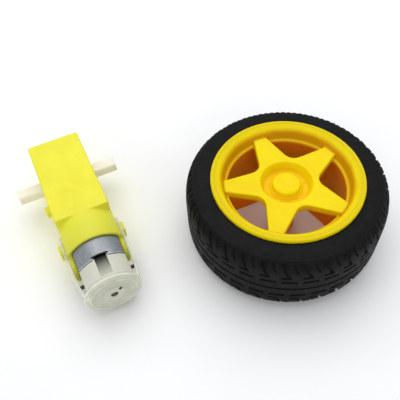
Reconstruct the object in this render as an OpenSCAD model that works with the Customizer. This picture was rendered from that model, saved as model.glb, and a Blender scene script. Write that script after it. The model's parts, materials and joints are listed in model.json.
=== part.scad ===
// Dual-shaft gear motor lying beside its five-spoke wheel and tyre.
// Millimetres. +X along the output shaft, -Y towards the motor's tail, Z up, floor at z = 0.

/* [Gearbox] */
// Gearbox thickness along the output shaft
box_t = 18.8; // [17:0.1:21]
// Gearbox height, standing on its narrow edge
box_h = 22.5; // [21:0.1:24]
// Output shaft centre to the front face
box_front = 11.3; // [10:0.1:12]
// Output shaft centre to the shoulder where the motor sleeve starts
box_back = 25; // [24:0.1:26]
// Thickness of the housing walls
wall = 1.3; // [1:0.1:1.6]
// Output shaft centre to the sleeve's rear edge
sleeve_end = 36; // [34:0.1:38]
// Output shaft centre to the tip of the side tongues
tongue_end = 42; // [40:0.1:43]
// Distance between the two side mounting holes
side_hole_pitch = 17.6; // [17:0.1:18]
// Output shaft centre to the side mounting holes
side_hole_back = 20.5; // [20:0.1:21]
// Output shaft centre to the hole in the front tab
tab_hole_front = 14.3; // [13.8:0.1:15]
// Output shaft centre to the tip of the front tab
tab_front = 17; // [16.5:0.1:18]
// Diameter of the mounting holes
mount_hole_d = 3; // [2.8:0.1:3.2]

/* [Output shaft] */
// Tip to tip length of the output shaft
shaft_len = 37; // [35:0.1:40]
// Diameter of the output shaft
shaft_d = 5.4; // [5.2:0.1:5.6]
// Thickness across the two flats at each end
shaft_flat = 3.7; // [3.5:0.1:4]
// Diameter of the pilot hole in each end
pilot_d = 2; // [1.5:0.1:2.2]

/* [Motor] */
// Diameter of the motor can over its round sides
can_d = 20.1; // [19.8:0.1:20.3]
// Width of the motor can over its flats
can_flat = 15.4; // [15:0.1:15.6]
// Output shaft centre to the motor's front face
can_front = 26; // [25.8:0.1:26.4]
// Output shaft centre to the rear edge of the metal can
can_back = 43.3; // [42.5:0.1:44]
// Output shaft centre to the rear face of the plastic end bell
bell_back = 51; // [50.5:0.1:51.2]
// Sheet thickness of the can
can_wall = 0.6; // [0.5:0.1:0.7]
// Diameter of the motor shaft
rotor_shaft_d = 2; // [1.9:0.1:2]

/* [Strap] */
// Radius of the round end cap of the strap
cap_r = 9.4; // [9.2:0.1:9.8]
// Thickness of the strap
strap_t = 1; // [0.8:0.1:1.2]
// Width of each side arm
arm_w = 8; // [7:0.5:9]

/* [Wheel] */
// Distance along X from the gear motor's mid-plane to the wheel's centre
wheel_right = 65.5; // [60:0.5:80]
// Distance along Y from the output shaft to the wheel's centre
wheel_near = 46; // [30:0.5:60]
// Outside diameter of the tyre
tyre_d = 68; // [64:0.5:70]
// Width of the tyre
tyre_w = 26.7; // [24:0.1:28]
// Height of the rim's lip above the floor
lip_z = 27.8; // [26:0.1:29]
// Outside radius of the rim's lip
lip_r = 25.5; // [24:0.1:26]
// Number of spokes
spokes = 5; // [3:1:7]
// Angle of the first spoke
spoke_angle = 14.3; // [0:0.1:71.9]
// Number of lateral grooves around each shoulder of the tyre
tread_count = 32; // [24:1:60]

/* [Gears] */
// Module of the first and last stages
mod_a = 0.5; // [0.5:0.1:0.5]
// Module of the middle stage
mod_b = 0.4; // [0.4:0.1:0.4]
// Teeth on every pinion
pinion_z = 8; // [8:1:8]
// Teeth on the crown gear
crown_z = 24; // [24:1:24]
// Teeth on the two large spur gears
wheel_z = 32; // [32:1:32]
// Sideways offset of the second idler above the mid-height
idler2_up = 2.9; // [2.6:0.1:2.9]

/* [Hidden] */
$fn = 64;
eps = 0.01;

hx = box_t / 2;
hz = box_h / 2;
ix = hx - wall;
iz = hz - wall;
shaft_r = shaft_d / 2;
run_gap = 0.05;
rotor_r = rotor_shaft_d / 2;
can_r = can_d / 2;
can_x = can_flat / 2;
tyre_r = tyre_d / 2;

// centre distances of the two spur stages
dist_23 = mod_b * (pinion_z + wheel_z) / 2;
dist_out = mod_a * (pinion_z + wheel_z) / 2;
idler2_y = -sqrt(dist_out * dist_out - idler2_up * idler2_up);
idler1_y = idler2_y - sqrt(dist_23 * dist_23 - idler2_up * idler2_up);
ang_2_out = atan2(-idler2_up, -idler2_y);
ang_1_2 = atan2(idler2_up, idler2_y - idler1_y);
crown_r = mod_a * crown_z / 2;
pin_r = 0.75;
gear_bore = 0.8;

// shift that puts the origin at the middle of the whole set's footprint, on the floor
x_low = -shaft_len / 2;
x_high = wheel_right + tyre_r;
y_low = -wheel_near - tyre_r;
y_high = tab_front;
motor_x = -(x_low + x_high) / 2;
motor_y = -(y_low + y_high) / 2;

yellow_box = [0.96, 0.94, 0.22];
yellow_rim = [0.97, 0.86, 0.08];
ivory = [0.93, 0.92, 0.86];
steel = [0.62, 0.64, 0.64];
copper = [0.78, 0.42, 0.2];
brass = [0.8, 0.66, 0.3];
black = [0.1, 0.1, 0.1];

// ---------- helpers ----------

// motor parts are drawn around the output shaft's centre
module at_motor() {
  translate([motor_x, motor_y, hz]) children();
}

module at_wheel() {
  translate([motor_x + wheel_right, motor_y - wheel_near, 0]) children();
}

// outline in (y, z), extruded from x0 to x1
module side(x0, x1) {
  translate([x0, 0, 0]) rotate([90, 0, 90]) linear_extrude(x1 - x0) children();
}

// outline in (x, z), extruded from y0 to y1
module across(y0, y1) {
  translate([0, y1, 0]) rotate([90, 0, 0]) linear_extrude(y1 - y0) children();
}

// cylinder along x
module rod_x(r, x0, x1, y = 0, z = 0) {
  translate([x0, y, z]) rotate([0, 90, 0]) cylinder(r = r, h = x1 - x0);
}

// cylinder along y
module rod_y(r, y0, y1, x = 0, z = 0) {
  translate([x, y1, z]) rotate([90, 0, 0]) cylinder(r = r, h = y1 - y0);
}

module block(x0, x1, y0, y1, z0, z1) {
  translate([x0, y0, z0]) cube([x1 - x0, y1 - y0, z1 - z0]);
}

// rectangle with rounded corners, centred
module rounded(w, h, r) {
  square([w - 2 * r, h], center = true);
  square([w, h - 2 * r], center = true);
  for (i = [-1, 1], j = [-1, 1])
    translate([i * (w / 2 - r), j * (h / 2 - r)]) circle(r);
}

// round bar along y with two flats facing +x and -x
module flatted(r, half, y0, y1) {
  intersection() {
    rod_y(r, y0, y1);
    block(-half, half, y0, y1, -r, r);
  }
}

function inv_deg(a) = tan(a) * 180 / PI - a;
function flank_deg(z, m, x, r, slack) =
  let (rb = m * z / 2 * cos(20))
  let (half = (90 + 2 * x * tan(20) * 180 / PI) / z - slack * 90 / (PI * m * z / 2))
  half + inv_deg(20) - inv_deg(r > rb ? acos(rb / r) : 0);

// spur gear outline with involute flanks: x is the profile shift, slack the thinning at the pitch line
module gear_outline(z, m, x, ra, rf, slack) {
  radii = [rf, rf + (ra - rf) * 0.35, rf + (ra - rf) * 0.6, rf + (ra - rf) * 0.8, ra];
  one = concat(
    [for (r = radii) [r, -flank_deg(z, m, x, r, slack)]],
    [for (i = [4:-1:0]) [radii[i], flank_deg(z, m, x, radii[i], slack)]]
  );
  polygon([for (k = [0:z - 1], p = one) [p[0] * cos(p[1] + k * 360 / z), p[0] * sin(p[1] + k * 360 / z)]]);
}

module pinion_outline(m) {
  gear_outline(pinion_z, m, 0.5, m * (pinion_z / 2 + 1.2), m * (pinion_z / 2 - 0.75), 0.06);
}

module wheel_outline(m) {
  gear_outline(wheel_z, m, -0.5, m * (wheel_z / 2 + 0.5), m * (wheel_z / 2 - 1.45), 0.06);
}

// ---------- gearbox housing ----------

screw_y = 7.9;
screw_z = 8;
nub_y = -30;

module housing_solid() {
  across(-box_back, box_front) rounded(box_t, box_h, 0.6);
  flatted(hz, hx, -sleeve_end, -box_back + 1);
  for (s = [-1, 1]) {
    // tongue along each flat of the motor
    side(s < 0 ? -hx : can_x + 0.1, s < 0 ? -can_x - 0.1 : hx) {
      translate([-tongue_end + 4.5, 0]) circle(4.5);
      translate([-tongue_end + 4.5, -4.5]) square([tongue_end - sleeve_end + 0.5, 9]);
    }
    // nub that holds the strap
    scale([s, 1, 1])
      translate([hx - 0.2, nub_y - 1.9, -2.4]) cube([2.4, 3.8, 4.8]);
  }
}

module housing_hollow() {
  across(-box_back + 0.2, box_front - wall) rounded(2 * ix, 2 * iz, 0.5);
  rod_y(3.1, -can_front - 1, -box_back + 1);
  flatted(can_r + 0.1, can_x + 0.1, -tongue_end - 1, -can_front);
}

module housing_bosses() {
  for (s = [-1, 1]) {
    rod_x(2.3, -hx + 0.7, hx - 0.7, -side_hole_back, s * side_hole_pitch / 2);
    rod_x(2.3, -hx + 0.7, hx - 0.7, screw_y, s * screw_z);
  }
  // bearing collars for the output shaft
  rod_x(4.2, -ix - 0.2, -4.8);
  rod_x(4, 6.6, ix + 0.2);
  // sockets for the idler pins
  rod_x(1.9, -ix - 0.2, 0, idler1_y);
  rod_x(1.8, 7.2, ix + 0.2, idler1_y);
  rod_x(1.8, -ix - 0.2, -5.2, idler2_y, idler2_up);
  rod_x(1.8, 7.2, ix + 0.2, idler2_y, idler2_up);
}

module housing_holes() {
  for (s = [-1, 1])
    rod_x(mount_hole_d / 2, -hx - 1, hx + 1, -side_hole_back, s * side_hole_pitch / 2);
  rod_x(shaft_r + run_gap, -hx - 1, hx + 1);
  rod_x(pin_r, -hx + 0.5, hx - 0.5, idler1_y);
  rod_x(pin_r, -hx + 0.5, hx - 0.5, idler2_y, idler2_up);
}

module housing_half(x0, x1) {
  intersection() {
    difference() {
      union() {
        difference() {
          housing_solid();
          housing_hollow();
        }
        housing_bosses();
      }
      housing_holes();
    }
    block(x0, x1, -60, 20, -20, 20);
  }
}

module housing_left() {
  at_motor() color(yellow_box) {
    difference() {
      union() {
        housing_half(-20, 0);
        // locating peg
        rod_x(2, -hx - 2, -hx + 0.2, -11);
        // front tab
        difference() {
          side(-1.5, 1.5) {
            translate([tab_front - 2.7, 0]) circle(2.7);
            translate([box_front, -2.7]) square([tab_front - 2.7 - box_front, 5.4]);
          }
          rod_x(mount_hole_d / 2, -3, 3, tab_hole_front);
        }
        block(-1.5, 0, box_front - 0.3, box_front + 0.3, -2.7, 2.7);
      }
      for (s = [-1, 1])
        rod_x(1, -7.5, 1, screw_y, s * screw_z);
    }
  }
}

module housing_right() {
  at_motor() color(yellow_box) {
    difference() {
      housing_half(0, 20);
      for (s = [-1, 1]) {
        rod_x(1.15, -1, hx + 1, screw_y, s * screw_z);
        rod_x(2.1, hx - 1.6, hx + 1, screw_y, s * screw_z);
      }
    }
  }
}

module housing_screws() {
  at_motor() color(steel) {
    for (s = [-1, 1]) {
      difference() {
        union() {
          rod_x(1, -6, hx - 1.5, screw_y, s * screw_z);
          rod_x(1.9, hx - 1.6, hx - 0.2, screw_y, s * screw_z);
        }
        for (a = [0, 90])
          translate([hx - 0.8, screw_y, s * screw_z]) rotate([a, 0, 0]) block(0, 2, -1.2, 1.2, -0.25, 0.25);
      }
    }
  }
}

// ---------- output ----------

module output_shaft() {
  half = shaft_len / 2;
  at_motor() color(ivory) {
    difference() {
      rod_x(shaft_r, -half, half);
      for (s = [-1, 1]) {
        // two flats on each end
        for (t = [-1, 1])
          translate([s * (half + hx + 0.2) / 2, 0, t * (shaft_flat / 2 + 2)])
            cube([half - hx - 0.2 + eps, 8, 4], center = true);
        scale([s, 1, 1]) rod_x(pilot_d / 2, half - 8, half + 1);
      }
    }
  }
}

module output_gear() {
  at_motor() color(ivory) {
    difference() {
      union() {
        side(-4.5, 0.5) rotate(ang_2_out + 180 + 180 / wheel_z) wheel_outline(mod_a);
        rod_x(3.6, 0.4, 4.1);
      }
      rod_x(shaft_r, -6, 6);
      // lightening recess in the web
      difference() {
        rod_x(6.2, -6, -3);
        rod_x(4, -7, -2);
      }
    }
  }
}

// ---------- idlers ----------

module crown_tooth() {
  // trapezoid tooth pointing towards -x, its faces running radially
  translate([0, -crown_r - 0.5, 0]) rotate([-90, 0, 0]) linear_extrude(1)
    polygon([[1.75, -0.12], [1.75, 0.12], [2.8, 0.5], [2.8, -0.5]]);
}

module idler_gear_1() {
  at_motor() color(ivory) {
    translate([0, idler1_y, 0]) difference() {
      union() {
        rod_x(1.7, 0.2, 2.8);
        rod_x(crown_r + 0.5, 2.75, 3.9);
        for (k = [0:crown_z - 1])
          rotate([180 / crown_z + k * 360 / crown_z, 0, 0]) crown_tooth();
        side(3.8, 7) rotate(ang_1_2) pinion_outline(mod_b);
      }
      rod_x(gear_bore, -1, 8);
    }
  }
}

module idler_gear_2() {
  at_motor() color(ivory) {
    translate([0, idler2_y, idler2_up]) difference() {
      union() {
        side(-5, 1.2) rotate(ang_2_out) pinion_outline(mod_a);
        rod_x(1.3, 1.1, 4.5);
        side(4.4, 6.4) rotate(ang_1_2 + 180 + 180 / wheel_z) wheel_outline(mod_b);
        rod_x(1.9, 6.3, 7);
      }
      rod_x(gear_bore, -6, 8);
    }
  }
}

module idler_pin_1() {
  at_motor() color(steel) rod_x(pin_r, -hx + 0.6, hx - 0.6, idler1_y);
}

module idler_pin_2() {
  at_motor() color(steel) rod_x(pin_r, -hx + 0.6, hx - 0.6, idler2_y, idler2_up);
}

// ---------- motor, fixed pieces ----------

can_in_r = can_r - can_wall;
can_in_x = can_x - can_wall;

module motor_can() {
  at_motor() color(steel) {
    difference() {
      union() {
        flatted(can_r, can_x, -can_back, -can_front);
        rod_y(3.05, -can_front - 0.1, -can_front + 1.7);
      }
      flatted(can_in_r, can_in_x, -can_back - 1, -can_front - can_wall);
      rod_y(2.4, -can_front - 1, -can_front + 1.5);
      rod_y(1.3, -can_front - 1, -can_front + 3);
      for (s = [-1, 1]) {
        // T-shaped notch in front of the end bell's groove
        scale([1, 1, s]) {
          block(-2.3, 2.3, -can_back - 1, -can_back + 1.1, 7, 12);
          block(-2.9, 2.9, -can_back + 0.7, -can_back + 1.2, 7, 12);
        }
        // vent window in each flat, ahead of the tongue
        scale([s, 1, 1]) block(can_x - 1, can_x + 1, -32, -29, 3, 5);
      }
    }
  }
}

term_z = 1.2;

module motor_end_bell() {
  at_motor() color(ivory) {
    difference() {
      union() {
        flatted(can_r, can_x, -bell_back, -can_back);
        flatted(can_in_r - 0.02, can_in_x - 0.02, -can_back - 0.1, -can_back + 1.7);
        rod_y(4, -bell_back - 1.4, -bell_back + 0.1);
      }
      flatted(8.4, 6.8, -bell_back + 1.2, -can_back + 3);
      // seat of the rear bearing, and the hole behind it
      rod_y(2.4, -bell_back - 0.9, -bell_back + 1.3);
      rod_y(1.2, -bell_back - 3, -bell_back);
      for (s = [-1, 1]) {
        // groove along the top and bottom, deeper towards the can's notch, where it opens into the motor
        scale([1, 1, s]) side(-2, 2)
          polygon([[-can_back + 1.9, 7.8], [-can_back + 1.9, 12], [-bell_back + 0.8, 12], [-bell_back + 0.8, 9.8]]);
        // slot for each terminal
        scale([s, 1, 1]) block(6, 9, -47.4, -44.6, term_z - 1.1, term_z + 1.1);
      }
      rod_y(0.45, -bell_back - 3, -bell_back - 0.4, 2.3, 2.4);
    }
  }
}

module motor_magnets() {
  at_motor() color([0.25, 0.25, 0.27]) {
    for (s = [-1, 1])
      scale([1, 1, s]) intersection() {
        difference() {
          rod_y(can_in_r - 0.02, -41, -28);
          rod_y(6.9, -42, -27);
        }
        block(-6.4, 6.4, -42, -27, 1, 12);
      }
  }
}

module magnet_clip() {
  at_motor() color(steel) {
    block(-can_in_x, -can_in_x + 0.4, -36, -33, -5.2, 5.2);
    for (s = [-1, 1])
      scale([1, 1, s]) block(-can_in_x, -6.4, -36, -33, 4.8, 5.2);
  }
}

module front_bearing() {
  at_motor() color(brass) {
    difference() {
      union() {
        rod_y(2.4, -can_front, -can_front + 1.5);
        rod_y(1.3, -can_front + 1.4, -can_front + 1.7);
      }
      rod_y(rotor_r + 0.03, -can_front - 1, -can_front + 3);
    }
  }
}

module rear_bearing() {
  at_motor() color(brass) {
    difference() {
      rod_y(2.4, -bell_back - 0.9, -bell_back + 1.2);
      rod_y(rotor_r + 0.03, -bell_back - 3, -bell_back + 3);
    }
  }
}

module motor_brushes() {
  at_motor() color(copper) {
    for (s = [-1, 1]) {
      // leaf spring from the terminal to the commutator, with its contact block
      rotate([0, s < 0 ? 180 : 0, 0]) {
        block(-3, 6.6, -44.8, -42.6, 2.9, 3.1);
        block(-0.9, 0.9, -44.7, -42.7, 2.35, 2.95);
      }
    }
  }
}

module motor_terminals() {
  at_motor() color(brass) {
    // upright plates inside the bell, and a lug through each slot
    for (s = [-1, 1]) {
      scale([s, 1, s]) block(6.3, 6.7, -47.3, -42.6, -2.6, 2.9);
      scale([s, 1, 1]) block(6.6, 9.2, -46.2, -45.8, term_z - 0.9, term_z + 0.9);
    }
  }
}

// ---------- strap ----------

module retaining_strap() {
  cap_y = -bell_back - 0.1;
  fil = 0.9;
  at_motor() color([0.86, 0.86, 0.78, 0.6]) {
    difference() {
      union() {
        // round end cap behind the bell, with a curved edge
        translate([0, cap_y, 0]) rotate([90, 0, 0]) rotate_extrude() {
          square([cap_r - fil, strap_t]);
          square([cap_r, strap_t - fil]);
          translate([cap_r - fil, strap_t - fil]) intersection() {
            circle(fil);
            square(fil);
          }
        }
        // raised ring on the cap
        difference() {
          rod_y(8.1, cap_y - strap_t - 0.3, cap_y - strap_t + 0.1);
          rod_y(7.4, cap_y - strap_t - 1, cap_y);
        }
        // the two side arms, straight beside the tongues and leaning in towards the cap
        for (s = [-1, 1])
          scale([s, 1, 1]) translate([0, 0, -arm_w / 2]) linear_extrude(arm_w)
            polygon([
              [hx + 0.1, -26.5], [hx + 1.1, -26.5], [hx + 1.2, -43.5], [cap_r + 0.2, -49.5], [cap_r - 0.2, -51.3],
              [cap_r - 0.9, -51.95], [7.5, -51.95], [7.5, -51.3], [cap_r - 0.9, -50.6], [hx + 0.2, -43.5]
            ]);
      }
      // hole for the boss of the bell
      rod_y(4.15, cap_y - 3, cap_y + 1);
      // windows for the nubs and the terminals
      for (s = [-1, 1]) {
        scale([s, 1, 1]) {
          block(hx - 1, hx + 3, nub_y - 2, nub_y + 2, -2.5, 2.5);
          block(cap_r - 2, hx + 2, -47.4, -44.4, term_z - 1.2, term_z + 1.2);
        }
      }
    }
  }
}

// ---------- rotor ----------

module rotor_shaft() {
  at_motor() color(steel) {
    rod_y(rotor_r, -51.6, -21.4);
    translate([0, -21.4, 0]) rotate([-90, 0, 0]) cylinder(r1 = rotor_r, r2 = rotor_r - 0.2, h = 0.2);
    translate([0, -51.6, 0]) rotate([90, 0, 0]) cylinder(r1 = rotor_r, r2 = rotor_r - 0.45, h = 0.5);
  }
}

module rotor_core() {
  at_motor() color([0.45, 0.45, 0.47]) {
    across(-38.5, -30.5) difference() {
      union() {
        circle(2.2);
        for (k = [0:2])
          rotate(90 + 120 * k) {
            translate([0, -1]) square([6, 2]);
            // pole shoe
            intersection() {
              difference() {
                circle(6.5);
                circle(5.5);
              }
              polygon([[0, 0], [9 * cos(50), -9 * sin(50)], [12, 0], [9 * cos(50), 9 * sin(50)]]);
            }
          }
      }
      circle(rotor_r);
    }
  }
}

module rotor_windings() {
  at_motor() color(copper) {
    for (k = [0:2])
      rotate([0, -90 - 120 * k, 0]) difference() {
        intersection() {
          block(2.5, 6, -39.6, -29.4, -2.6, 2.6);
          rod_y(5.45, -40, -29);
        }
        block(2, 7, -38.5, -30.5, -1, 1);
      }
  }
}

module commutator() {
  at_motor() color(copper) {
    difference() {
      union() {
        rod_y(2.3, -45.6, -41.5);
        rod_y(3.4, -41.6, -40.9);
      }
      rod_y(rotor_r, -46, -40);
      for (k = [0:2])
        rotate([0, 120 * k, 0]) block(1.7, 4, -46, -40, -0.15, 0.15);
    }
  }
}

module rotor_spacers() {
  at_motor() color(ivory) {
    difference() {
      union() {
        rod_y(1.9, -29.2, -27);
        rod_y(1.7, -49.5, -45.9);
      }
      rod_y(rotor_r, -50, -26);
    }
  }
}

module motor_pinion() {
  at_motor() color(ivory) {
    across(-24, -21.6) difference() {
      pinion_outline(mod_a);
      circle(rotor_r);
    }
  }
}

// ---------- wheel ----------

seat_r = 23.3;
wall_r = 20.9;
ledge_r = 19.9;
spoke_top = lip_z - 3.1;
spoke_t = 3;
dish_r = 8.8;
dish_deep = 3.3;
hub_r = 4.6;
hub_low = 1.5;
bore_gap = 0.05;
window_in = 4;
window_mid = 14.9;
window_out = 0.7;
spoke_half = 2.8;
ledge_z = spoke_top - 1.5;

// one window between two spokes: straight flanks round a wide inner corner; shut leaves the ledge's ring standing
module window(shut) {
  reach = ledge_r + 0.25;
  c_r = reach - window_out;
  ang_out = 180 / spokes - asin((spoke_half + window_out) / c_r);
  c_out = [c_r * cos(ang_out), c_r * sin(ang_out)];
  d = [c_out[0] - window_mid, c_out[1]];
  // direction in which the flank's line touches both corner circles
  lean = atan2(d[1], d[0]) + 90 - asin((window_in - window_out) / norm(d));
  touch_in = [window_mid + window_in * cos(lean), window_in * sin(lean)];
  touch_out = [c_out[0] + window_out * cos(lean), c_out[1] + window_out * sin(lean)];
  far = shut ? [1.1 * ledge_r * cos(ang_out), 1.1 * ledge_r * sin(ang_out)]
             : touch_out + (touch_out - touch_in) * 0.9;
  upper = [[window_mid, 0], touch_in, touch_out, if (shut) c_out, far, [2 * ledge_r, 0]];
  intersection() {
    circle(shut ? reach : wall_r + 2);
    union() {
      polygon(upper);
      polygon([for (q = upper) [q[0], -q[1]]]);
    }
  }
  translate([window_mid, 0]) circle(window_in);
  if (shut)
    for (s = [-1, 1])
      translate([c_out[0], s * c_out[1]]) circle(window_out);
}

module spoke_layer(z0, z1, rim_r, shut) {
  translate([0, 0, z0]) linear_extrude(z1 - z0) difference() {
    circle(rim_r);
    for (k = [0:spokes - 1])
      rotate(spoke_angle + (k + 0.5) * 360 / spokes) window(shut);
  }
}

module wheel_rim() {
  back = 0.4;
  web_hub_z = 18;
  web_rim_z = 8.5;
  at_wheel() color(yellow_rim) {
    difference() {
      union() {
        // barrel with its lip, inner ledge and back flange
        rotate_extrude() polygon([
          [seat_r, 1.6], [seat_r + 1.4, 1.6], [seat_r + 1.4, back], [seat_r - 1.6, back], [ledge_r + 0.8, 1.6],
          [ledge_r, ledge_z - 1.2], [ledge_r, ledge_z], [wall_r, ledge_z], [wall_r + 0.1, lip_z - 1.6],
          [wall_r + 0.6, lip_z - 0.8], [wall_r + 1.4, lip_z - 0.35], [lip_r - 1.4, lip_z - 0.3],
          [lip_r - 1.1, lip_z], [lip_r - 0.5, lip_z], [lip_r - 0.1, lip_z - 0.3], [lip_r, lip_z - 0.8],
          [lip_r, tyre_w - 0.3], [seat_r, tyre_w - 0.3]
        ]);
        // spokes: closed by the ledge's ring low down, running on to the wall above it
        spoke_layer(spoke_top - spoke_t, ledge_z - 0.2, ledge_r + 0.6, true);
        spoke_layer(ledge_z - 0.3, spoke_top, wall_r + 0.5, false);
        // cup under the dish, and the hub tube
        translate([0, 0, spoke_top - dish_deep - 2]) cylinder(r = dish_r + 1, h = dish_deep + 1);
        translate([0, 0, hub_low]) cylinder(r = hub_r, h = spoke_top - dish_deep - hub_low - 1);
        // a gusset behind each spoke, deepest at the barrel
        for (k = [0:spokes - 1])
          rotate(spoke_angle + k * 360 / spokes)
            across(-0.8, 0.8) polygon([
              [hub_r - 0.5, spoke_top - spoke_t + 0.5], [hub_r - 0.5, web_hub_z],
              [seat_r - 1.3, web_rim_z], [seat_r - 1.3, spoke_top - spoke_t + 0.5]
            ]);
      }
      // dish with a sloping side
      translate([0, 0, spoke_top - dish_deep])
        cylinder(r1 = dish_r - 1.2, r2 = dish_r + 1.2 / dish_deep, h = dish_deep + 1);
      // double-flat bore for the shaft
      translate([0, 0, hub_low - 1]) intersection() {
        cylinder(r = shaft_r + bore_gap, h = 12);
        translate([0, 0, 6]) cube([8, shaft_flat + 2 * bore_gap, 12], center = true);
      }
    }
    // centre cap on a low collar, and the small bumps around it
    translate([0, 0, spoke_top - dish_deep - eps]) {
      cylinder(r = 5.4, h = 0.7);
      cylinder(r = 4.7, h = 2.3);
      translate([0, 0, 2.3]) cylinder(r1 = 4.7, r2 = 4.1, h = 0.5);
      for (k = [0:3])
        rotate(84 + 90 * k) translate([6.6, 0, 0]) cylinder(r1 = 0.55, r2 = 0.35, h = 0.6);
    }
  }
}

module tyre() {
  groove = 1;
  at_wheel() color(black) {
    difference() {
      rotate_extrude() difference() {
        polygon([
          [seat_r, 1.6], [seat_r + 1.6, 1.6], [seat_r + 2, 0.6], [tyre_r - 7, 0], [tyre_r - 3.5, 0],
          [tyre_r - 1.4, 0.8], [tyre_r - 0.4, 2.4],
          [tyre_r, 4.5], [tyre_r, tyre_w - 4.8], [tyre_r - 0.4, tyre_w - 3], [tyre_r - 1.4, tyre_w - 1.5],
          [tyre_r - 3.2, tyre_w - 0.4],
          [tyre_r - 6, tyre_w], [lip_r + 0.3, tyre_w - 0.1], [lip_r, tyre_w - 0.3], [seat_r, tyre_w - 0.3]
        ]);
        // hollow for the liner
        translate([seat_r - 1, 5]) square([6.6, 17]);
        // grooves around the tread
        for (z = [8.5, 12.9, 17.3])
          translate([tyre_r - groove, z]) square([2, 1.2]);
      }
      // slanted lateral grooves over both shoulders
      for (k = [0:tread_count - 1])
        rotate(k * 360 / tread_count) {
          translate([tyre_r - 1, 0, tyre_w - 4.8]) rotate([28, 0, 0]) block(0, 3, -0.7, 0.7, -2.2, 6);
          translate([tyre_r - 1, 0, 5]) rotate([-28, 0, 0]) block(0, 3, -0.7, 0.7, -6, 2.2);
        }
    }
  }
}

module tyre_liner() {
  at_wheel() color([0.3, 0.3, 0.3]) {
    translate([0, 0, 5]) difference() {
      cylinder(r = seat_r + 5.6, h = 17);
      translate([0, 0, -1]) cylinder(r = seat_r, h = 19);
    }
  }
}

housing_left();
housing_right();
housing_screws();
output_shaft();
output_gear();
idler_gear_1();
idler_gear_2();
idler_pin_1();
idler_pin_2();
motor_can();
motor_end_bell();
motor_magnets();
magnet_clip();
front_bearing();
rear_bearing();
motor_brushes();
motor_terminals();
retaining_strap();
rotor_shaft();
rotor_core();
rotor_windings();
commutator();
rotor_spacers();
motor_pinion();
wheel_rim();
tyre();
tyre_liner();
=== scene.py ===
import json
import math

import bmesh
import bpy
import numpy as np
from mathutils import Matrix, Vector

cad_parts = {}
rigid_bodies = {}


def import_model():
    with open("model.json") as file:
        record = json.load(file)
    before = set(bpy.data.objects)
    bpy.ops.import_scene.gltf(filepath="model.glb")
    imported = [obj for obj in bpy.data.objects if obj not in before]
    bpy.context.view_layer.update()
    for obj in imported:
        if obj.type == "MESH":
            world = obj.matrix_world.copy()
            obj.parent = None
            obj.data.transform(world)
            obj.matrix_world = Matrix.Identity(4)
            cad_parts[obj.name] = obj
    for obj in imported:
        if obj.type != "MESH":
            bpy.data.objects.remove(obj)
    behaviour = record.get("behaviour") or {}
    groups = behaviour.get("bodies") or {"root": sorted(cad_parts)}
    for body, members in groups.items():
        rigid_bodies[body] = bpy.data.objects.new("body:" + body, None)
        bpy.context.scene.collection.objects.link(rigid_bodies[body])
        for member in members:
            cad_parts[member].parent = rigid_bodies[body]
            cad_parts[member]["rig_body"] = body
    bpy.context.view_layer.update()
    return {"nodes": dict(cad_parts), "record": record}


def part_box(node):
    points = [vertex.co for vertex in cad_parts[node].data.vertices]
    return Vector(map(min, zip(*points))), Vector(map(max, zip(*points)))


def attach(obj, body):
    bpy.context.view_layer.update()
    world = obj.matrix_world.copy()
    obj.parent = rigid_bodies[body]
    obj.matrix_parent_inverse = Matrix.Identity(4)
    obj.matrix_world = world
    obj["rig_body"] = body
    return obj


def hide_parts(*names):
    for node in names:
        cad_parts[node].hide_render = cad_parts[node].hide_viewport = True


MM = 0.001
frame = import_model()
NODES = frame["nodes"]
SLOT = {part["node"]: part["material_slot"] for part in frame["record"]["subparts"]}


# ---------- places, taken from the frame ----------

def middle(node):
    low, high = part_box(node)
    return (low + high) / 2


RIM_LOW, RIM_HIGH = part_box("wheel_rim")
TYRE_LOW, TYRE_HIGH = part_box("tyre")
WHEEL = Vector((middle("tyre").x, middle("tyre").y, 0))
SHAFT = middle("output_shaft")
TYRE_R = (TYRE_HIGH.x - TYRE_LOW.x) / 2
TYRE_W = TYRE_HIGH.z
LIP_R = (RIM_HIGH.x - RIM_LOW.x) / 2
LIP_Z = RIM_HIGH.z


# ---------- shader helpers ----------

def srgb(r, g, b):
    """A colour from 0-255 screen values, as the shader's linear values."""
    def linear(v):
        return ((v / 255 + 0.055) / 1.055) ** 2.4 if v > 10 else v / 255 / 12.92
    return linear(r), linear(g), linear(b), 1.0


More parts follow.
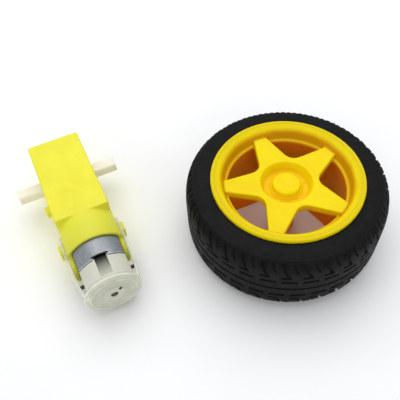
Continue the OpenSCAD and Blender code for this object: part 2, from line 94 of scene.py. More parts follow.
class Shader:
    """A material with its principled shader, and short calls for the nodes that feed it."""

    def __init__(self, name, **sockets):
        self.material = bpy.data.materials.new(name)
        self.material.use_nodes = True
        self.tree = self.material.node_tree
        self.main = self.tree.nodes["Principled BSDF"]
        self.place = self.add("ShaderNodeTexCoord").outputs["Object"]
        for key, value in sockets.items():
            self.main.inputs[key.replace("_", " ")].default_value = value

    def add(self, kind, **settings):
        node = self.tree.nodes.new(kind)
        for key, value in settings.items():
            setattr(node, key, value)
        return node

    def join(self, value, socket):
        """Links a node's output to the socket, or sets the socket to a plain value."""
        if isinstance(value, bpy.types.NodeSocket):
            self.tree.links.new(value, socket)
        else:
            socket.default_value = value

    def axes(self):
        """The surface point's x, y and z."""
        split = self.add("ShaderNodeSeparateXYZ")
        self.join(self.place, split.inputs["Vector"])
        return split.outputs["X"], split.outputs["Y"], split.outputs["Z"]

    def stretch(self, scale, turn=(0, 0, 0)):
        """The surface point scaled along each axis, for noise drawn out into lines."""
        node = self.add("ShaderNodeMapping")
        node.inputs["Rotation"].default_value = turn
        node.inputs["Scale"].default_value = scale
        self.join(self.place, node.inputs["Vector"])
        return node.outputs["Vector"]

    def noise(self, size, detail=3, rough=0.55, where=None, warp=0.0):
        """Noise with features about this many metres across."""
        node = self.add("ShaderNodeTexNoise")
        node.inputs["Scale"].default_value = 1 / size
        node.inputs["Detail"].default_value = detail
        node.inputs["Roughness"].default_value = rough
        node.inputs["Distortion"].default_value = warp
        self.join(where or self.place, node.inputs["Vector"])
        return node.outputs["Fac"]

    def cells(self, size):
        """Distance from the middle of the nearest of many cells, each about this many metres across."""
        node = self.add("ShaderNodeTexVoronoi", feature="F1")
        node.inputs["Scale"].default_value = 1 / size
        self.join(self.place, node.inputs["Vector"])
        return node.outputs["Distance"]

    def spread(self, value, low, high, to_low=0.0, to_high=1.0):
        """Maps low..high onto to_low..to_high, and holds the ends outside it."""
        node = self.add("ShaderNodeMapRange")
        for key, number in (("From Min", low), ("From Max", high), ("To Min", to_low), ("To Max", to_high)):
            node.inputs[key].default_value = number
        self.join(value, node.inputs["Value"])
        return node.outputs["Result"]

    def reckon(self, how, a, b):
        node = self.add("ShaderNodeMath", operation=how)
        self.join(a, node.inputs[0])
        self.join(b, node.inputs[1])
        return node.outputs["Value"]

    def plus(self, a, b):
        return self.reckon("ADD", a, b)

    def times(self, a, b):
        return self.reckon("MULTIPLY", a, b)

    def blend(self, share, a, b):
        """Colour a where share is 0, b where it is 1."""
        node = self.add("ShaderNodeMix", data_type="RGBA", blend_type="MIX")
        self.join(share, node.inputs["Factor"])
        self.join(a, node.inputs["A"])
        self.join(b, node.inputs["B"])
        return node.outputs["Result"]

    def edges(self, low, high):
        """1 along outward edges, 0 elsewhere."""
        return self.spread(self.add("ShaderNodeNewGeometry").outputs["Pointiness"], low, high)

    def colour(self, value):
        self.join(value, self.main.inputs["Base Color"])

    def gloss(self, value):
        self.join(value, self.main.inputs["Roughness"])

    def relief(self, *layers):
        """Bumps, each (height value, depth in metres)."""
        normal = None
        for height, depth in layers:
            node = self.add("ShaderNodeBump")
            node.inputs["Strength"].default_value = 1.0
            node.inputs["Distance"].default_value = depth
            self.join(height, node.inputs["Height"])
            if normal is not None:
                self.join(normal, node.inputs["Normal"])
            normal = node.outputs["Normal"]
        self.join(normal, self.main.inputs["Normal"])


# ---------- materials ----------

def moulded(name, base, deep, pale, rough, by_place=None, **sockets):
    """Injection-moulded plastic: faint flow marks and cloudy colour, spark-eroded grain, rubbed edges.
    by_place(shader, tone) returns the tone as it changes over the part."""
    grain = 0.012 * MM
    s = Shader(name, **sockets)
    cloud = s.spread(s.noise(9 * MM, 4, 0.6, warp=0.6), 0.3, 0.7)
    flow = s.noise(5 * MM, 3, 0.5, where=s.stretch((1, 0.22, 1), (0.2, 0.1, 0.5)))
    tone = s.blend(s.spread(flow, 0.35, 0.7, 0, 0.5), s.blend(cloud, deep, base), pale)
    speck = s.spread(s.noise(0.7 * MM, 2), 0.68, 0.78, 0, 0.25)
    tone = s.blend(speck, tone, deep)
    rubbed = s.times(s.edges(0.52, 0.60), s.spread(s.noise(2.2 * MM, 5), 0.4, 0.65))
    tone = s.blend(rubbed, tone, pale)
    if by_place:
        tone = by_place(s, tone)
    s.colour(tone)
    worn = s.spread(s.noise(4 * MM, 5, 0.65), 0.3, 0.7, rough - 0.06, rough + 0.08)
    s.gloss(s.plus(worn, s.times(s.noise(0.25 * MM, 2), 0.06)))
    s.relief((s.noise(0.16 * MM, 3, 0.6), grain), (s.noise(3.5 * MM, 3), grain * 3))
    return s.material


def sleeve_painted_shade(s, tone):
    """Painted shade on the housing's sleeve: darker from the box along the motor, and darker still towards
    its mouth.
    """
    shade_begins, shade_deepens, mouth = SHAFT.y - 19 * MM, SHAFT.y - 26 * MM, SHAFT.y - 38 * MM
    _, y, _ = s.axes()
    along = s.plus(y, s.times(s.noise(5 * MM, 3), 3 * MM))
    tone = s.blend(s.spread(along, shade_deepens, shade_begins, 0.9, 0), tone, srgb(225, 222, 62))
    return s.blend(s.spread(along, mouth, shade_deepens, 0.8, 0), tone, srgb(202, 203, 56))


def rim_painted_shade(s, tone):
    """Painted shade, tinted orange like light bounced inside yellow plastic, in the rim's recesses: the dish
    floor, the wall and ledge inside the lip and the barrel behind the spokes; and painted shade making the
    lip's face slightly duller. Radii, and depths below the lip's top, are in mm."""
    x, y, z = s.axes()
    cloudy_z = s.plus(z, s.times(s.noise(6 * MM, 2), 0.8 * MM))
    flat = s.add("ShaderNodeCombineXYZ")
    s.join(x, flat.inputs["X"])
    s.join(y, flat.inputs["Y"])
    reach = s.add("ShaderNodeVectorMath", operation="DISTANCE")
    s.join(flat.outputs["Vector"], reach.inputs[0])
    reach.inputs[1].default_value = WHEEL

    def beyond(low, high, most=1.0):
        """0 inside radius low, most outside radius high."""
        return s.spread(reach.outputs["Value"], low * MM, high * MM, 0, most)

    def below(height, deep, shallow):
        """1 from the depth deep downwards, 0 from shallow upwards."""
        return s.spread(height, LIP_Z - deep * MM, LIP_Z - shallow * MM, 1, 0)

    wall = s.times(beyond(20.6, 21.0), below(cloudy_z, 1.7, 0.3))
    ledge = s.times(beyond(19.3, 19.8), below(z, 4.4, 3.9))
    barrel = s.times(beyond(18.8, 19.3), below(z, 5.8, 5.1))
    lip = s.times(beyond(22.6, 23.6, 0.8), s.spread(cloudy_z, LIP_Z - 0.6 * MM, LIP_Z))
    up_barrel = s.spread(cloudy_z, LIP_Z - 13 * MM, LIP_Z - 6 * MM)
    tone = s.blend(below(cloudy_z, 11, 4.2), tone, srgb(250, 156, 12))
    tone = s.blend(ledge, tone, srgb(232, 182, 3))
    tone = s.blend(wall, tone, srgb(216, 157, 2))
    tone = s.blend(barrel, tone, s.blend(up_barrel, srgb(254, 178, 14), srgb(232, 128, 6)))
    return s.blend(lip, tone, srgb(224, 196, 2))


def metal(name, base, dark, rough, stretch, depth=0.008 * MM, spots=0.0):
    """Plated or drawn metal: fine drawing lines, cloudy plating, small dull spots."""
    s = Shader(name, Metallic=1.0)
    cloud = s.spread(s.noise(4 * MM, 5, 0.62, warp=0.8), 0.3, 0.7)
    lines = s.noise(0.5 * MM, 4, 0.7, where=s.stretch(stretch))
    tone = s.blend(cloud, dark, base)
    tone = s.blend(s.spread(lines, 0.45, 0.8, 0, 0.5), tone, dark)
    dull = s.spread(s.noise(1.1 * MM, 4, 0.7), 0.62, 0.72, 0, spots)
    s.colour(s.blend(dull, tone, dark))
    s.gloss(s.plus(s.spread(lines, 0.3, 0.7, rough - 0.07, rough + 0.1), s.times(dull, 0.2)))
    s.relief((lines, depth), (s.noise(0.12 * MM, 2), depth * 0.6))
    return s.material


def rubber(name, base, dusty, rough):
    """Moulded black rubber: fine grain, dull bloom, dust caught on edges and in the grain."""
    s = Shader(name, Specular_IOR_Level=0.12)
    bloom = s.spread(s.noise(7 * MM, 5, 0.6, warp=0.7), 0.35, 0.7, 0, 0.55)
    rubbed = s.times(s.edges(0.50, 0.60), s.spread(s.noise(1.6 * MM, 4), 0.35, 0.65))
    tone = s.blend(s.times(rubbed, 0.6), s.blend(bloom, base, dusty), dusty)
    speck = s.spread(s.cells(1.3 * MM), 0.04, 0.09, 0.35, 0)
    s.colour(s.blend(speck, tone, dusty))
    s.gloss(s.spread(s.noise(2.4 * MM, 4, 0.65), 0.3, 0.7, rough - 0.09, rough + 0.1))
    s.relief((s.noise(0.2 * MM, 3, 0.65), 0.02 * MM), (s.noise(1.4 * MM, 3), 0.03 * MM))
    return s.material


def hazy(name, tint, milky, see_through, rough, cap_y):
    """Clear moulded plastic with flow lines and fine scratches, clearer in front of cap_y than behind it."""
    s = Shader(name, IOR=1.46)
    s.colour(s.blend(s.spread(s.noise(5 * MM, 4, 0.6, warp=1.0), 0.3, 0.75), tint, milky))
    _, y, _ = s.axes()
    in_cap = s.spread(y, cap_y, cap_y + 3 * MM, 0.22, 0)
    body = s.plus(s.times(s.noise(3.5 * MM, 3), 0.36), s.times(s.edges(0.5, 0.56), 0.42))
    s.join(s.plus(body, s.plus(in_cap, 0.9 - see_through)), s.main.inputs["Alpha"])
    lines = s.noise(0.6 * MM, 3, 0.6, where=s.stretch((1, 0.12, 1), (0.3, 0.2, 0.7)))
    scratch = s.spread(lines, 0.6, 0.75, 0, 0.12)
    s.gloss(s.plus(scratch, s.spread(s.noise(3 * MM, 4), 0.3, 0.7, rough - 0.05, rough + 0.07)))
    s.relief((s.noise(2.5 * MM, 3, 0.5), 0.02 * MM), (s.noise(0.3 * MM, 2), 0.006 * MM))
    return s.material


def ferrite():
    """Pressed and sintered magnet powder."""
    s = Shader("ferrite")
    s.colour(s.blend(s.spread(s.noise(0.8 * MM, 5, 0.7), 0.35, 0.7), srgb(48, 48, 52), srgb(78, 76, 76)))
    s.gloss(s.spread(s.noise(2 * MM, 4), 0.3, 0.7, 0.6, 0.85))
    s.relief((s.noise(0.15 * MM, 4, 0.7), 0.03 * MM))
    return s.material


def sponge():
    """Open-cell foam, with painted shade in its pores."""
    s = Shader("open_cell_sponge")
    pore = s.cells(0.7 * MM)
    s.colour(s.blend(s.spread(pore, 0.1, 0.45), srgb(38, 38, 38), srgb(92, 90, 86)))
    s.gloss(s.spread(s.noise(1 * MM), 0.3, 0.7, 0.85, 0.98))
    s.relief((pore, 0.3 * MM))
    return s.material


def painted_shade_tone(name, rough, mottle, dark, light, grain):
    """Dull plastic painted with the shade of a gap or hole. The mottle is the size, detail and low end of its
    cloudy noise."""
    size, detail, low = mottle
    s = Shader(name, Roughness=rough, Specular_IOR_Level=0.1)
    s.colour(s.blend(s.spread(s.noise(size, detail), low, 1 - low), dark, light))
    s.relief((s.noise(grain, 2), 0.01 * MM))
    return s.material


FINISH = {
    # the housing's finish darkens its sleeve with painted shade
    "yellow_housing": moulded("lemon_plastic", srgb(238, 231, 52), srgb(230, 221, 46), srgb(243, 238, 68),
                              0.42, sleeve_painted_shade, Subsurface_Weight=0.12, Subsurface_Scale=0.0012,
                              Specular_IOR_Level=0.3),
    # the rim's finish carries painted shade in its recesses and on the lip's face
    "yellow_rim": moulded("warm_yellow_plastic", srgb(243, 219, 2), srgb(239, 208, 1), srgb(247, 225, 8),
                          0.40, rim_painted_shade, Subsurface_Weight=0.5, Subsurface_Scale=0.003,
                          Subsurface_Radius=(1.0, 0.55, 0.06), Specular_IOR_Level=0.12),
    "white_plastic": moulded("ivory_plastic", srgb(242, 238, 226), srgb(235, 230, 216), srgb(247, 244, 235),
                             0.45, Subsurface_Weight=0.3, Subsurface_Scale=0.0015),
    "bell_plastic": moulded("milky_nylon", srgb(206, 206, 190), srgb(192, 192, 172), srgb(220, 220, 206),
                            0.42, Subsurface_Weight=0.2, Subsurface_Scale=0.0012),
    "clear_strap": hazy("hazy_clear_plastic", srgb(240, 241, 224), srgb(226, 227, 204), 0.74, 0.16,
                        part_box("retaining_strap")[0].y + 1.5 * MM),
    "can_steel": metal("zinc_plated_can", srgb(166, 171, 174), srgb(142, 147, 152), 0.52, (1, 0.12, 1),
                       spots=0.35),
    "screw_steel": metal("bright_steel", srgb(196, 198, 200), srgb(140, 142, 146), 0.28, (0.15, 1, 1),
                         spots=0.2),
    "lamination": metal("stamped_iron", srgb(120, 122, 126), srgb(78, 80, 86), 0.5, (1, 6, 1), spots=0.5),
    "bronze": metal("sintered_bronze", srgb(122, 98, 66), srgb(74, 58, 38), 0.55, (1, 1, 1), 0.02 * MM, 0.6),
    "copper": metal("enamelled_copper", srgb(196, 116, 66), srgb(142, 74, 38), 0.34, (1, 1, 5), spots=0.25),
    "black_rubber": rubber("black_rubber", srgb(11, 12, 12), srgb(21, 22, 22), 0.6),
    "ferrite": ferrite(),
    "sponge": sponge(),
}


# ---------- mesh helpers ----------

def wear(o, material):
    """The material as the object's only one."""
    o.data.materials.clear()
    o.data.materials.append(material)


def new_piece(name, mesh, body, slot, *stands_for):
    """An object for a finished mesh in the row frame, riding on its body."""
    o = bpy.data.objects.new(name, mesh)
    bpy.context.scene.collection.objects.link(o)
    wear(o, FINISH[slot])
    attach(o, body)
    if stands_for:
        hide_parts(*stands_for)
    return o


def mesh_from(name, bm):
    """The finished mesh of a bmesh, which is freed."""
    mesh = bpy.data.meshes.new(name)
    bm.to_mesh(mesh)
    bm.free()
    return mesh


def apply_modifiers(o):
    """The object's mesh with its modifiers worked in."""
    depsgraph = bpy.context.evaluated_depsgraph_get()
    done = bpy.data.meshes.new_from_object(o.evaluated_get(depsgraph))
    o.modifiers.clear()
    o.data = done


def shade(o, angle=None):
    """Smooth shading that keeps edges sharper than this many degrees, if any."""
    for p in o.data.polygons:
        p.use_smooth = True
    if angle:
        o.data.set_sharp_from_angle(angle=math.radians(angle))


def thinned(o, most):
    """The piece with its triangles merged where the surface is plain, down to this many thousand."""
    count = sum(len(p.vertices) - 2 for p in o.data.polygons)
    if count > most * 1000:
        o.modifiers.new("thin", "DECIMATE").ratio = most * 1000 / count
        apply_modifiers(o)
    return o


def moulded_copy(name, cell, passes, *nodes):
    """CAD nodes of one body joined, remeshed at cell metres and relaxed, so that inner and outer corners
    both come out round."""
    bm = bmesh.new()
    for node in nodes:
        bm.from_mesh(NODES[node].data)
    o = new_piece(name, mesh_from(name, bm), NODES[nodes[0]]["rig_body"], SLOT[nodes[0]], *nodes)
    remesh = o.modifiers.new("voxels", "REMESH")
    remesh.mode = "VOXEL"
    remesh.voxel_size = cell
    relax = o.modifiers.new("relax", "CORRECTIVE_SMOOTH")
    relax.iterations = passes
    relax.factor = 0.5
    relax.use_only_smooth = True
    apply_modifiers(o)
    wear(o, FINISH[SLOT[nodes[0]]])
    shade(o)
    return o


def skin(bm, rings):
    """Faces from each closed ring of vertices to the next."""
    for a, b in zip(rings, rings[1:]):
        for i in range(len(a)):
            j = (i + 1) % len(a)
            bm.faces.new((a[i], a[j], b[j], b[i]))


def bar(bm, rings):
    """A closed bar through the rings, with both ends shut."""
    skin(bm, rings)
    bm.faces.new(rings[0])
    bm.faces.new(rings[-1])


def turned_mesh(name, points):
    """A closed mesh from an array of points [u, v, 3] that wraps round both ways."""
    nu, nv = points.shape[:2]
    a = np.arange(nu * nv).reshape(nu, nv)
    d = np.roll(a, -1, 0)
    faces = np.stack([a, d, np.roll(d, -1, 1), np.roll(a, -1, 1)], -1).reshape(-1, 4)
    mesh = bpy.data.meshes.new(name)
    mesh.from_pydata(points.reshape(-1, 3).tolist(), [], faces.tolist())
    mesh.update()
    return mesh


def circle_steps(count):
    return np.linspace(0, 2 * np.pi, count, endpoint=False)


def along_motor(radius, y, u, x0=0.0, z0=0.0):
    """Points at this radius and angle u round an axis along the motor, x0 and z0 off the shaft's centre."""
    return np.stack([SHAFT.x + x0 + radius * np.cos(u), y + 0 * u, SHAFT.z + z0 + radius * np.sin(u)], -1)


def motor_ring(name, y, major, minor, steps, slot):
    """A round bead about the motor's axis."""
    u, v = circle_steps(steps[0])[:, None], circle_steps(steps[1])[None, :]
    points = along_motor(major + minor * np.cos(v), y + minor * np.sin(v), u)
    o = new_piece(name, turned_mesh(name, points), "gearmotor", slot)
    shade(o, 60)
    return o


# ---------- gear motor ----------

for node, o in NODES.items():
    wear(o, FINISH[SLOT[node]])
wear(NODES["rotor_shaft"], metal("ground_shaft", srgb(116, 114, 112), srgb(70, 68, 66), 0.42, (1, 0.2, 1)))


def seam(o, x, half, depth):
    """A fine groove of the two mould halves' seam, round the piece at this x."""
    co = np.empty(len(o.data.vertices) * 3)
    o.data.vertices.foreach_get("co", co)
    normal = np.empty_like(co)
    o.data.vertices.foreach_get("normal", normal)
    co, normal = co.reshape(-1, 3), normal.reshape(-1, 3)
    share = np.clip(1 - np.abs(co[:, 0] - x) / half, 0, 1)
    co -= normal * (depth * share)[:, None]
    o.data.vertices.foreach_set("co", co.ravel())
    o.data.update()
    return o


case = moulded_copy("gearbox_case", 0.25 * MM, 6, "housing_left", "housing_right")
thinned(seam(case, SHAFT.x, 0.3 * MM, 0.05 * MM), 180)
moulded_copy("output_shaft_moulded", 0.15 * MM, 6, "output_shaft")
thinned(moulded_copy("motor_can_drawn", 0.14 * MM, 3, "motor_can"), 160)
moulded_copy("motor_end_bell_moulded", 0.17 * MM, 4, "motor_end_bell")
moulded_copy("retaining_strap_clear", 0.17 * MM, 4, "retaining_strap")


def groove_floors():
    """Sloping floors of the end bell's two grooves, painted with shade that darkens towards the can, and the
    spigot seen through the arms of the can's T-shaped notch, painted with the same dark shade."""
    low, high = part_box("motor_end_bell")
    rear = low.y + 2.3 * MM
    front = high.y - 0.6 * MM
    # heights above the motor's axis, in mm
    rear_height, fall = 9.93, 1.72
    spigot_low, spigot_r = 8.4, 9.56
    section = ((-1.98, -0.05), (-1.5, 0), (0, 0), (1.5, 0), (1.98, -0.05), (1.98, 0.5), (-1.98, 0.5))
    arm_section = (2.02, 2.5, 3.02)
    steps = 12
    s = Shader("groove_painted_shade", Roughness=0.6, Specular_IOR_Level=0.2)
    _, place_y, _ = s.axes()
    along = s.plus(place_y, s.times(s.noise(1.5 * MM, 3), 1.2 * MM))
    dim = front - 3.4 * MM
    # painted shade: from the bell's own tone at the rear to near black at the can
    deep = s.blend(s.spread(along, dim, front - 0.4 * MM), srgb(138, 139, 127), srgb(58, 62, 50))
    s.colour(s.blend(s.spread(along, rear, dim), srgb(196, 196, 182), deep))
    s.relief((s.noise(0.2 * MM, 3), 0.02 * MM))
    for side in (-1, 1):
        bm = bmesh.new()
        rings = []
        for k in range(steps + 1):
            t = k / steps
            y = rear + (front - rear) * t
            top = (rear_height - fall * t) * MM
            rings.append([bm.verts.new((SHAFT.x + x * MM, y, SHAFT.z + side * (top - drop * MM)))
                          for x, drop in section])
        bar(bm, rings)
        for hand in (-1, 1):
            rings = []
            for x in arm_section:
                heights = (spigot_low, math.sqrt(spigot_r ** 2 - x * x))
                a, b, c, d = (bm.verts.new((SHAFT.x + hand * x * MM, front + dy * MM,
                                            SHAFT.z + side * z * MM))
                              for dy in (-0.5, 0.2) for z in heights)
                rings.append([a, b, d, c])
            bar(bm, rings)
        bmesh.ops.recalc_face_normals(bm, faces=bm.faces)
        name = "bell_groove_" + ("top" if side > 0 else "bottom")
        o = new_piece(name, mesh_from(name, bm), "gearmotor", "bell_plastic")
        wear(o, s.material)
        shade(o, 40)


def boss_hole():
    """A short liner in the small hole beside the shaft, in nylon painted with the hole's shade, so that the
    hole reads dark as in the real cap.
    """
    x0, z0 = 2.3 * MM, 2.4 * MM
    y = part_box("motor_end_bell")[0].y
    u = circle_steps(24)[:, None]
    # (radius, depth below the boss's face) from the mouth in to the closed bottom and back round the outside
    outline = np.array([(0.40, 0.02), (0.40, 0.75), (0.02, 0.75),
                        (0.02, 0.95), (0.56, 0.95), (0.56, 0.02)]) * MM
    radius, depth = outline[None, :, 0], outline[None, :, 1]
    mesh = turned_mesh("boss_hole_liner", along_motor(radius, y + depth, u, x0, z0))
    o = new_piece("boss_hole_liner", mesh, "gearmotor", "bell_plastic")
    wear(o, painted_shade_tone("hole_painted_shade_nylon", 0.7, (0.3 * MM, 2, 0.3), srgb(40, 38, 30), srgb(70, 67, 54), 0.15 * MM))
    shade(o, 40)


def cap_bead():
    """The bright moulded bead round the edge of the strap's end cap, where light gathers in clear plastic."""
    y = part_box("motor_end_bell")[0].y + 1.22 * MM
    o = motor_ring("strap_cap_bead", y, 9.36 * MM, 0.42 * MM, (144, 16), "clear_strap")
    # the whole bead lies behind cap_y, where the plastic is milky
    wear(o, hazy("bright_edge_plastic", srgb(240, 240, 222), srgb(226, 226, 204), 0.34, 0.2, y + 30 * MM))


def boss_collar():
    """The soft inner corner where the strap's cap meets the bell's boss."""
    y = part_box("motor_end_bell")[0].y + 0.34 * MM
    motor_ring("boss_collar", y, 4.07 * MM, 0.2 * MM, (96, 12), "bell_plastic")


def can_edge(name, radius, minor, back, slot, material):
    """A fine line round the can's rear edge, on its round sides and clear of the T-shaped notches.
    Sizes in mm."""
    notch_half, flat_x = 2.36, 7.5
    steps_along, steps_round = 40, 10
    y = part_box("motor_can")[0].y + back * MM
    bm = bmesh.new()
    for quarter in range(4):
        hand, side = (1, -1)[quarter % 2], (1, -1)[quarter // 2]
        rings = []
        for a in np.linspace(math.asin(notch_half / radius), math.asin(flat_x / radius), steps_along):
            ring = []
            for v in circle_steps(steps_round):
                r = (radius + minor * math.cos(v)) * MM
                ring.append(bm.verts.new((SHAFT.x + hand * r * math.sin(a), y + minor * math.sin(v) * MM,
                                          SHAFT.z + side * r * math.cos(a))))
            rings.append(ring)
        bar(bm, rings)
    bmesh.ops.recalc_face_normals(bm, faces=bm.faces)
    o = new_piece(name, mesh_from(name, bm), "gearmotor", slot)
    wear(o, material)
    shade(o, 60)


groove_floors()
boss_hole()
cap_bead()
boss_collar()
# a fine bead on the can's rear edge, in steel painted far brighter than the can's: a painted highlight line
can_edge("can_edge_highlight_bead", 9.98, 0.19, 0.14, "can_steel",
         metal("can_edge_painted_highlight", srgb(240, 242, 244), srgb(206, 210, 214), 0.3, (1, 0.12, 1),
               0.003 * MM, 0.2))
# a dark strip just behind the can's edge: painted shade of the gap between can and bell
can_edge("gap_strip_painted_shade", 9.95, 0.17, -0.2, "bell_plastic",
         painted_shade_tone("can_gap_painted_shade", 0.8, (1.5 * MM, 3, 0.35), srgb(34, 34, 32), srgb(66, 66, 60), 0.2 * MM))


# ---------- wheel ----------

def smooth_step(x, low, high):
    t = np.clip((x - low) / (high - low), 0, 1)
    return t * t * (3 - 2 * t)


def lean_wall(o):
    """Leans the wall inside the lip outwards, so that it runs into the lip's face in a soft curve."""
    most, inner, outer, foot = 1.0, 20.2, 24.6, -4.4
    for v in o.data.vertices:
        flat = Vector((v.co.x - WHEEL.x, v.co.y - WHEEL.y))
        r, z = flat.length / MM, (v.co.z - LIP_Z) / MM
        if inner < r < outer and z > foot:
            rise = smooth_step(z, foot + 0.1, -0.4)
            fade = smooth_step(r, inner, inner + 0.6) * (1 - smooth_step(r, 21.6, outer))
            flat *= 1 + most * rise * fade / r
            v.co.x, v.co.y = WHEEL.x + flat.x, WHEEL.y + flat.y
    o.data.update()


def tyre_outline(r, w, lip, seat):
    """The tyre's outline as (radius, height) points from its inner edge at the bottom round to the one at the
    top, with rounded corners and fine steps on the tread, and which of them lie on the outer skin. In mm."""
    fine, coarse = 0.16, 0.5
    corners = np.array([
        (seat, 1.65), (seat + 1.65, 1.65), (seat + 1.9, 0.9), (r - 7, 0.0), (r - 4.6, 0.02), (r - 3.2, 0.3),
        (r - 2.0, 1.0), (r - 1.1, 2.1), (r - 0.5, 3.6), (r - 0.15, 5.4), (r, 8.0), (r, w - 8.0),
        (r - 0.15, w - 5.4), (r - 0.5, w - 3.6), (r - 1.1, w - 2.1), (r - 2.0, w - 1.05), (r - 3.2, w - 0.42),
        (r - 4.6, w - 0.12), (lip + 1.6, w), (lip + 0.35, w - 0.05), (lip + 0.05, w - 0.32), (seat, w - 0.32),
    ])
    out = []
    for a, b in zip(corners, corners[1:]):
        step = fine if a[0] > r - 5 and b[0] > r - 5 else coarse
        n = max(1, int(np.ceil(np.linalg.norm(b - a) / step)))
        out.extend(a + (b - a) * k / n for k in range(n))
    out.append(corners[-1])
    profile = np.array(out)
    outside = profile[:, 0] > seat + 2.2
    for _ in range(12):
        mean = (np.roll(profile, 1, 0) + np.roll(profile, -1, 0)) / 2
        profile[outside] = 0.5 * profile[outside] + 0.5 * mean[outside]
    profile[:, 0] = np.minimum(profile[:, 0], r)
    profile[:, 1] = np.clip(profile[:, 1], 0, w)
    return profile, outside


def tread_depth(around, across, pitch):
    """Depth of the tread in mm, at distances around the tyre and across it from the middle of the tread."""
    soft = 0.13
    dash_at, dash_half = 4.1, 0.5
    shoulder_in, shoulder_out = 6.3, 12.8
    side = np.sign(across)
    t = np.abs(across)
    # the marks of one side lie half a pitch further round than the other's
    offset = np.where(side > 0, 0.0, pitch / 2)

    def band(value, centre, half, edge=soft):
        return 1 - smooth_step(np.abs(value - centre), half - edge, half + edge)

    def phase(shift):
        """Distance from the nearest mark of the repeat, in mm."""
        return np.abs((around + shift) % pitch - pitch / 2)

    def mark(shift, half, edge):
        """1 within half of a mark of the repeat, 0 further than edge outside it."""
        return 1 - smooth_step(phase(shift), half, half + edge)

    def groove(shift, half):
        return 1 - smooth_step(phase(shift), half - soft, half + soft)

    def run(start):
        """From start to the outer end of the shoulder."""
        end = 1 - smooth_step(t, shoulder_out - 0.7, shoulder_out + 0.3)
        return smooth_step(t, start - soft, start + soft) * end

    lean = offset + side * 0.42 * (t - shoulder_in)
    saw = np.abs(((around * 3 / pitch) % 1) - 0.5) * 2
    layers = (
        # thin groove round the middle
        (0.6, band(across, 0, 0.42)),
        # a row of long dashes on each side of it
        (0.65, band(t, dash_at, dash_half) * mark(offset, pitch * 0.34, 0.3)),
        # slanted grooves over the shoulders
        (0.68, run(shoulder_in) * groove(lean, 0.52)),
        # a shorter groove between them, from the edge half way in
        (0.48, run(9.2) * groove(lean + pitch / 2, 0.34)),
        # foot of each groove: a step sideways towards the dashes
        (0.6, band(t, shoulder_in + 0.25, 0.42) * mark(lean + pitch * 0.17, pitch * 0.2, 0.3)),
        # fine serration where the shoulder meets the side wall
        (0.28, band(t, 12.0, 1.2, 0.5) * smooth_step(saw, 0.45, 0.75)),
    )
    depth = np.zeros(np.broadcast_shapes(around.shape, across.shape))
    for deepest, share in layers:
        depth = np.maximum(depth, deepest * share)
    return depth, smooth_step(t, shoulder_out + 0.9, shoulder_out + 1.15)


def tyre_piece():
    """The tyre as one closed skin: smooth side walls, a band of slanted ribs over each shoulder,
    two rows of dashes and a thin groove round the middle of the tread."""
    pitches, per_pitch = 32, 42
    seat, wall_drop = 23.35, 0.16
    w, r, lip = TYRE_W / MM, TYRE_R / MM, LIP_R / MM
    profile, outside = tyre_outline(r, w, lip, seat)
    tangent = np.roll(profile, -1, 0) - np.roll(profile, 1, 0)
    tangent /= np.linalg.norm(tangent, axis=1, keepdims=True) + 1e-12
    normal = np.stack([tangent[:, 1], -tangent[:, 0]], 1)
    length = np.r_[0, np.cumsum(np.linalg.norm(np.diff(profile, axis=0), axis=1))]
    across = length - np.interp(w / 2, profile[outside][:, 1], length[outside])
    nu = pitches * per_pitch
    angle = np.arange(nu) * 2 * np.pi / nu
    depth, wall = tread_depth(angle[:, None] * r, across[None, :], 2 * np.pi * r / pitches)
    # inside the tread's outer edge the side wall lies a little lower, up to the edge round the rim's lip
    depth = depth + wall_drop * wall * smooth_step(profile[None, :, 0], lip + 0.6, lip + 1.1)
    depth = depth * outside[None, :]
    rad = profile[None, :, 0] - normal[None, :, 0] * depth
    high = profile[None, :, 1] - normal[None, :, 1] * depth
    points = np.stack([
        WHEEL.x + MM * rad * np.cos(angle)[:, None],
        WHEEL.y + MM * rad * np.sin(angle)[:, None],
        MM * np.clip(high, 0, w),
    ], -1)
    o = new_piece("tyre_treaded", turned_mesh("tyre_treaded", points), "wheel", "black_rubber", "tyre")
    shade(thinned(o, 196), 50)


lean_wall(thinned(moulded_copy("wheel_rim_moulded", 0.22 * MM, 4, "wheel_rim"), 196))
tyre_piece()


# ---------- floor, light, camera ----------

def floor():
    half, z = 3.0, -0.02 * MM
    corners = [(-half, -half, z), (half, -half, z), (half, half, z), (-half, half, z)]
    mesh = bpy.data.meshes.new("floor")
    mesh.from_pydata(corners, [], [(0, 1, 2, 3)])
    o = bpy.data.objects.new("floor", mesh)
    bpy.context.scene.collection.objects.link(o)
    s = Shader("paper")
    s.colour(s.blend(s.spread(s.noise(60 * MM, 3), 0.3, 0.7), srgb(246, 246, 246), srgb(250, 250, 250)))
    s.gloss(s.spread(s.noise(5 * MM, 2), 0.3, 0.7, 0.75, 0.85))
    s.relief((s.noise(0.8 * MM, 2), 0.01 * MM))
    mesh.materials.append(s.material)


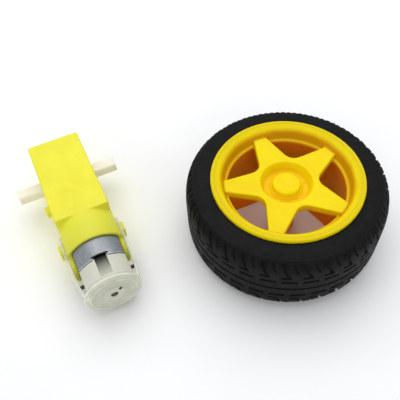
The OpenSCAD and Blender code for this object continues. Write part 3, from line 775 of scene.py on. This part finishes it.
def lamp(name, place, aim, size, power):
    light = bpy.data.lights.new(name, "AREA")
    light.shape = "RECTANGLE"
    light.size, light.size_y = size
    light.energy = power
    o = bpy.data.objects.new(name, light)
    o.location = place
    o.rotation_euler = (Vector(aim) - Vector(place)).to_track_quat("-Z", "Y").to_euler()
    bpy.context.scene.collection.objects.link(o)


def studio_world(colour, strength):
    world = bpy.data.worlds.new("studio")
    bpy.context.scene.world = world
    world.use_nodes = True
    background = world.node_tree.nodes["Background"]
    background.inputs["Color"].default_value = colour
    background.inputs["Strength"].default_value = strength


def photo_camera(azimuth, elevation, roll, distance, look_at, focal):
    """A camera that looks at a point on the floor, at azimuth 0 along +Y. Angles are in degrees, and the
    focal length is in mm."""
    azimuth, elevation, roll = map(math.radians, (azimuth, elevation, roll))
    camera = bpy.data.cameras.new("camera")
    camera.sensor_width = 36
    camera.lens = focal
    camera.clip_start = 0.01
    back = Vector((math.sin(azimuth) * math.cos(elevation), -math.cos(azimuth) * math.cos(elevation),
                   math.sin(elevation)))
    right = Vector((math.cos(azimuth), math.sin(azimuth), 0))
    up = back.cross(right)
    right, up = right * math.cos(roll) + up * math.sin(roll), up * math.cos(roll) - right * math.sin(roll)
    o = bpy.data.objects.new("camera", camera)
    o.matrix_world = Matrix((right, up, back)).transposed().to_4x4()
    o.location = look_at + back * distance
    bpy.context.scene.collection.objects.link(o)
    return o


floor()
lamp("overhead", (0.12, 0.32, 0.92), (0, 0, 0), (1.1, 1.0), 5.9)
lamp("front_fill", (-0.25, -0.85, 0.5), (0, 0, 0.01), (0.9, 0.7), 1.0)
lamp("side_fill", (-0.9, 0.1, 0.45), (0, 0, 0.01), (0.6, 0.6), 0.5)
studio_world((0.96, 0.98, 1.0, 1), 0.62)
bpy.context.scene.camera = photo_camera(
    azimuth=-22.072, elevation=53.291, roll=-3.825, distance=202.782 * MM,
    look_at=Vector((SHAFT.x + 43.342 * MM, SHAFT.y - 22.807 * MM, 0)), focal=47.33271)
bpy.context.scene.view_settings.view_transform = "Standard"
